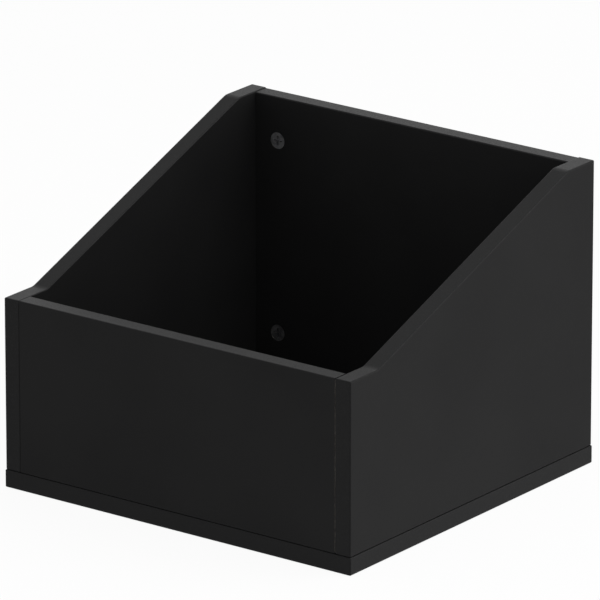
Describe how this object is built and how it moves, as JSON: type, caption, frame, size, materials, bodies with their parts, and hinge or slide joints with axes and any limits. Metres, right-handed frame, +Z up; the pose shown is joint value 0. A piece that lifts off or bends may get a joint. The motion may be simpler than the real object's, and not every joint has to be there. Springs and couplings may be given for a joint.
{
  "type": "record storage box",
  "caption": "Open-topped storage box of black laminated boards for large sleeves, its sides sloping up from a low front rim to a high rear rim.",
  "frame": {"origin": "on the floor, at the middle of the base's underside", "axes": "+Z up, -Y towards the low front rim, X along the width"},
  "size_m": [0.3672, 0.3512, 0.274],
  "materials": {
    "board": "chipboard faced with smooth black melamine, satin",
    "edge_band": "black ABS strip with a fine matt grain",
    "cam_zinc": "tumbled zinc die-casting",
    "bolt_steel": "bright zinc plating",
    "screw_steel": "bright zinc plating",
    "dowel_wood": "bare fluted beech"
  },
  "bodies": {
    "box": {"base_panel": "board", "left_side_panel": "board", "right_side_panel": "board", "front_panel": "board", "back_panel": "board", "base_front_band": "edge_band", "base_rear_band": "edge_band", "base_left_band": "edge_band", "base_right_band": "edge_band", "left_side_front_band": "edge_band", "left_side_top_band": "edge_band", "left_side_rear_band": "edge_band", "left_side_bottom_band": "edge_band", "right_side_front_band": "edge_band", "right_side_top_band": "edge_band", "right_side_rear_band": "edge_band", "right_side_bottom_band": "edge_band", "front_top_band": "edge_band", "front_bottom_band": "edge_band", "back_top_band": "edge_band", "back_bottom_band": "edge_band", "cam_bolts": "bolt_steel", "base_screws": "screw_steel", "wooden_dowels": "dowel_wood"},
    "front_left_lower_cam": {"front_left_lower_cam": "cam_zinc"},
    "front_left_upper_cam": {"front_left_upper_cam": "cam_zinc"},
    "front_right_lower_cam": {"front_right_lower_cam": "cam_zinc"},
    "front_right_upper_cam": {"front_right_upper_cam": "cam_zinc"},
    "back_left_lower_cam": {"back_left_lower_cam": "cam_zinc"},
    "back_left_upper_cam": {"back_left_upper_cam": "cam_zinc"},
    "back_right_lower_cam": {"back_right_lower_cam": "cam_zinc"},
    "back_right_upper_cam": {"back_right_upper_cam": "cam_zinc"}
  },
  "joints": [
    {"name": "front_left_lower_cam_turn", "type": "hinge", "parent": "box", "child": "front_left_lower_cam", "pos_m": [-0.143, -0.159, 0.056], "axis": [0, 1, 0], "range_deg": [0, 180]},
    {"name": "front_left_upper_cam_turn", "type": "hinge", "parent": "box", "child": "front_left_upper_cam", "pos_m": [-0.143, -0.159, 0.131], "axis": [0, 1, 0], "range_deg": [0, 180]},
    {"name": "front_right_lower_cam_turn", "type": "hinge", "parent": "box", "child": "front_right_lower_cam", "pos_m": [0.143, -0.159, 0.056], "axis": [0, 1, 0], "range_deg": [0, 180]},
    {"name": "front_right_upper_cam_turn", "type": "hinge", "parent": "box", "child": "front_right_upper_cam", "pos_m": [0.143, -0.159, 0.131], "axis": [0, 1, 0], "range_deg": [0, 180]},
    {"name": "back_left_lower_cam_turn", "type": "hinge", "parent": "box", "child": "back_left_lower_cam", "pos_m": [-0.143, 0.159, 0.056], "axis": [0, -1, 0], "range_deg": [0, 180]},
    {"name": "back_left_upper_cam_turn", "type": "hinge", "parent": "box", "child": "back_left_upper_cam", "pos_m": [-0.143, 0.159, 0.2333], "axis": [0, -1, 0], "range_deg": [0, 180]},
    {"name": "back_right_lower_cam_turn", "type": "hinge", "parent": "box", "child": "back_right_lower_cam", "pos_m": [0.143, 0.159, 0.056], "axis": [0, -1, 0], "range_deg": [0, 180]},
    {"name": "back_right_upper_cam_turn", "type": "hinge", "parent": "box", "child": "back_right_upper_cam", "pos_m": [0.143, 0.159, 0.2333], "axis": [0, -1, 0], "range_deg": [0, 180]}
  ]
}
